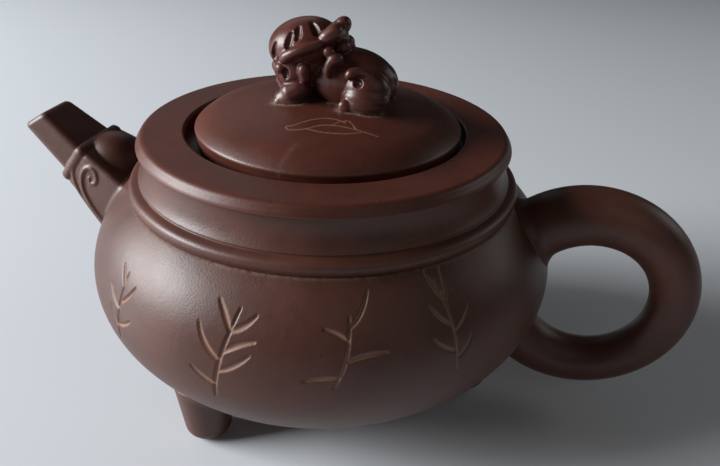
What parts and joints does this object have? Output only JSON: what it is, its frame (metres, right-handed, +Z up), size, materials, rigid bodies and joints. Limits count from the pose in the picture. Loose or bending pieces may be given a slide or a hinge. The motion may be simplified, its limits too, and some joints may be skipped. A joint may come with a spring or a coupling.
{
  "type": "yixing clay teapot",
  "caption": "Squat round clay teapot on three stub feet, with a wide flat rim, an inset domed lid with a lion finial, a flat square-section spout and a ring handle.",
  "frame": {"origin": "on the pot's axis, in the plane of the three foot pads", "axes": "+Z up along the pot's axis, +X towards the handle, -X towards the spout"},
  "size_m": [0.166, 0.11, 0.0926],
  "materials": {
    "belly_clay": "satin",
    "neck_clay": "satin",
    "spout_clay": "satin",
    "handle_clay": "satin",
    "lid_clay": "satin",
    "lion_clay": "satin"
  },
  "bodies": {
    "pot": {"base_disc": "belly_clay", "body_wall": "belly_clay", "shoulder_disc": "belly_clay", "neck_bead": "neck_clay", "neck_band": "neck_clay", "rim_ring": "neck_clay", "mouth_seat": "neck_clay", "spout_base": "spout_clay", "spout_tip": "spout_clay", "spout_boss": "spout_clay", "spout_scroll_left": "spout_clay", "spout_scroll_right": "spout_clay", "strainer": "spout_clay", "handle": "handle_clay", "foot_handle_side": "belly_clay", "foot_spout_left": "belly_clay", "foot_spout_right": "belly_clay"},
    "lid": {"lid_dome": "lid_clay", "lid_flange": "lid_clay", "lion_body": "lion_clay", "lion_head": "lion_clay", "lion_mane": "lion_clay", "lion_ears": "lion_clay", "lion_forelegs": "lion_clay", "lion_hindlegs": "lion_clay", "lion_tail": "lion_clay"}
  },
  "joints": [
    {"name": "lid_lift", "type": "slide", "parent": "pot", "child": "lid", "axis": [0, 0, 1], "range_m": [0, 0.06]}
  ]
}
